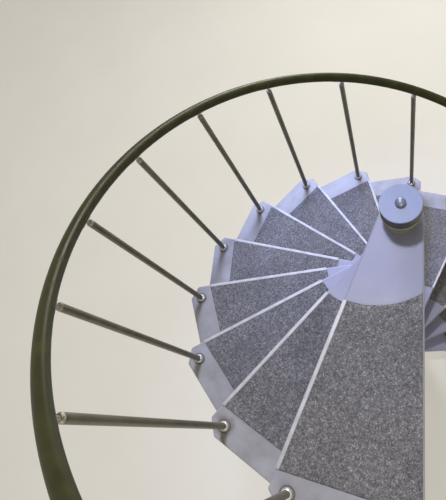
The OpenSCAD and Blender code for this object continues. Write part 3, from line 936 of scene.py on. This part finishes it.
def flangeMesh():
    # the plate's rim is a profile of (inset, height); flat plates with holes close it, and the
    # collar stands on it as a profile of (radius, height) down to its bore
    c = column
    thick, soft, bend = c["flangeThick"], c["rimSoft"], c["rimRound"]
    rim = [(soft, 0), (0, soft), (0, thick - bend), (0.3 * bend, thick - 0.3 * bend), (bend, thick)]
    wall = carried(ring(c["flangeR"], 96), rim)
    holeAngles = (np.arange(c["flangeHoles"]) + 0.5) * 2 * math.pi / c["flangeHoles"]
    middles = c["boltCircleR"] * np.stack([np.cos(holeAngles), np.sin(holeAngles)], 1)
    holes = [ring(c["flangeHoleR"], 24, middle) for middle in middles]
    collar = ring(c["collarR"], 64)
    made = Shell()
    made.grid(wall)
    made.plate([wall[0][:, :2], *holes], 0)
    made.plate([wall[-1][:, :2], collar, *holes], thick)
    for hole in holes:
        made.grid(carried(hole, [(0, thick), (0, 0)]))
    top, bore = thick + c["collarHigh"], c["collarBoreR"]
    corners = [[c["collarR"], thick], [c["collarR"], top], [bore, top], [bore, thick], [0, thick]]
    made.grid(revolved(rounded(corners, np.array(c["collarSoft"]) * mm, 4), 64))
    beadShell(made, c["collarR"] + c["beadOut"], thick + c["beadOut"], c["beadThick"], 80, 320)
    return made.merged(), holeAngles


def makeBase():
    # the flange, and a bolt with its stud in each of its holes
    c = column
    mesh, holeAngles = flangeMesh()
    makePiece("welded_flange", *mesh, paintColumn, "column_paint", ["base_flange"])
    bolt = hexBolt(c["boltAcross"], c["boltHigh"], c["boltWasherR"], c["boltWasherThick"])
    studTop = c["boltHigh"] + c["boltWasherThick"] + c["studHigh"]
    stud = discOf(c["studR"], 0, studTop, *c["studSoft"], 24)
    points, faces = joined(bolt, stud)
    placed = [(turned(points + [c["boltCircleR"], 0, c["flangeThick"]], a), faces) for a in holeAngles]
    makePiece("anchor_bolts", *joined(*placed), boltMetal, "foot_metal")


def makeCap():
    # the stack on the top spacer: seal, dark ring, disc and dome nut
    c = cap
    low = stair["count"] * stair["rise"] + column["topSpacer"]
    ringLow = low + c["sealThick"]
    discLow = ringLow + c["ringHigh"]
    top = discLow + c["thick"]
    bore = column["boreR"]
    seal = ringOf(c["sealR"], bore, low, ringLow, c["sealSoft"])
    makePiece("seal_washer", *seal, sealRubber, "seal", ["seal_ring"])
    dark = ringOf(c["ringR"], bore, ringLow, discLow, c["ringSoft"])
    makePiece("rubber_ring", *dark, capRubber, "ring_rubber", ["cap_ring"])
    disc = discOf(c["r"], discLow, top, *c["discSoft"], 96)
    makePiece("turned_cap", *disc, paintCap, "tread_paint", ["column_cap"])
    # the nut has a straight rim, then half a sphere
    dome = arcOf((0, top + c["nutRim"]), c["nutR"], 0, 90, 16)
    rim = [[0, top], [c["nutR"] - c["nutSoft"], top], [c["nutR"], top + c["nutSoft"]]]
    makePiece("dome_nut", *lathed(np.vstack([rim, dome]), 64), nutMetal, "nut_metal", ["cap_nut"], 50)


makeSpacers()
makeBase()
makeCap()
nodes["centre_column"].data.materials.clear()
nodes["centre_column"].data.materials.append(paintColumn)
print("column and cap made")


# Camera, light and floor

camera = {
    "place": (0.5825, 0.2257, 4.1844),
    "right": (-0.41998, 0.85344, -0.30864), "down": (0.89201, 0.32556, -0.31357),
    "focalPx": 529.75, "imageWidth": 446, "sensor": 36.0, "near": 50 * mm,
}
eye = newObject("camera", bpy.data.cameras.new("camera"))
right, down = Vector(camera["right"]).normalized(), Vector(camera["down"]).normalized()
ahead = right.cross(down)
turn = Matrix((right, -down, -ahead)).transposed()
eye.matrix_world = Matrix.Translation(camera["place"]) @ turn.to_4x4()
eye.data.sensor_fit = "HORIZONTAL"
eye.data.sensor_width = camera["sensor"]
eye.data.lens = camera["focalPx"] / camera["imageWidth"] * camera["sensor"]
eye.data.clip_start = camera["near"]
bpy.context.scene.camera = eye

# a weak sun evens out the light, three lamps stand above, to the left and to the right, and a
# cool one falls in a soft cone on the cap, the hubs and the treads beside them
lights = {
    # name: (kind, power, colour, place, aimed at, settings)
    "softSun": ("SUN", 0.2, "#ffffff", (-1.0, -1.2, 8.0), (0, 0, 2), {"angle": math.radians(30)}),
    "topLight": ("AREA", 116, "#eff1ff", (-0.8, -0.95, 6.8), (0, -0.1, 2.4),
                 {"shape": "DISK", "size": 0.42}),
    "leftLight": ("AREA", 120, "#fffaf0", (-4.4, -1.7, 2.9), (0, 0, 2.2), {"shape": "DISK", "size": 1.8}),
    "rightLight": ("AREA", 42, "#fff3df", (2.8, 2.0, 4.2), (0, 0, 2), {"shape": "DISK", "size": 2.4}),
    "coolLight": ("SPOT", 300, "#b2c2ff", (-1.5, -1.3, 3.5), (-0.5, -0.3, 1.7),
                  {"shadow_soft_size": 0.4, "spot_size": math.radians(72), "spot_blend": 1.0}),
}
for name, (kind, power, colour, place, aim, settings) in lights.items():
    lamp = bpy.data.lights.new(name, kind)
    lamp.energy, lamp.color = power, linear(colour)[:3]
    for setting, value in settings.items():
        setattr(lamp, setting, value)
    # a lamp shines along its own -z
    turn = (Vector(place) - Vector(aim)).to_track_quat("Z", "Y").to_matrix()
    holder = newObject(name, lamp)
    holder.matrix_world = Matrix.Translation(place) @ turn.to_4x4()
    holder.visible_camera = kind == "SUN"


def seenRay(tree):
    # 1 on the rays of the camera and of reflections, and 0 on those that carry light
    ray = addNode(tree, "LightPath").outputs
    seen = ray["Is Camera Ray"]
    for name in ("Is Glossy Ray", "Is Transmission Ray"):
        seen = addNode(tree, "Math", [seen, ray[name]], operation="MAXIMUM")
    return seen


# the world lights the scene softly, and what the camera or a reflection sees of it is pale
studio = {"soft": "#efe3c2", "softPower": 0.26, "pale": "#dcd9d0", "palePower": 0.85}
world = bpy.data.worlds.new("studio")
bpy.context.scene.world = world
world.use_nodes = True
worldTree = world.node_tree
soft = worldTree.nodes["Background"]
soft.inputs[0].default_value = linear(studio["soft"])
soft.inputs[1].default_value = studio["softPower"]
pale = addNode(worldTree, "Background", [linear(studio["pale"]), studio["palePower"]])
both = addNode(worldTree, "MixShader", [seenRay(worldTree), soft, pale])
worldTree.links.new(both.outputs[0], worldTree.nodes["World Output"].inputs[0])

# a floor of matt pale paint: flat in tone but for a wide faint mottle
ground = {
    "half": 60.0, "low": "#eae7e0", "high": "#f0eee8", "mottleMm": 600, "roughness": 0.8,
    "even": "#e9e6de", "evenShare": 0.45,
}
corners = ground["half"] * np.array([(-1, -1, 0), (1, -1, 0), (1, 1, 0), (-1, 1, 0)])
floor = newObject("floor", newMesh("floor", corners, [(0, 1, 2, 3)]))
floorPaint, floorTree, floorPlace = startMaterial("mattPaintOnFloor")
mottle = addNode(floorTree, "TexNoise",
                 {"Vector": floorPlace, "Scale": perMm(ground["mottleMm"]), "Detail": 3.0})
floorTone = addNode(floorTree, "ValToRGB", [mottle], stops=[(0.3, ground["low"]), (0.7, ground["high"])])
matt = addNode(floorTree, "BsdfPrincipled", {"Base Color": floorTone, "Roughness": ground["roughness"]})
# a share of it is evenly pale to the camera, and the rest keeps the stair's shadow
even = addNode(floorTree, "Emission", [linear(ground["even"]), 1.0])
share = addNode(floorTree, "Math", [seenRay(floorTree), ground["evenShare"]], operation="MULTIPLY")
mixed = addNode(floorTree, "MixShader", [share, matt, even])
addNode(floorTree, "OutputMaterial", {"Surface": mixed})
floorPaint.cycles.emission_sampling = "NONE"
floor.data.materials.append(floorPaint)

bpy.context.scene.view_settings.view_transform = "Standard"
print("camera, light and floor made")
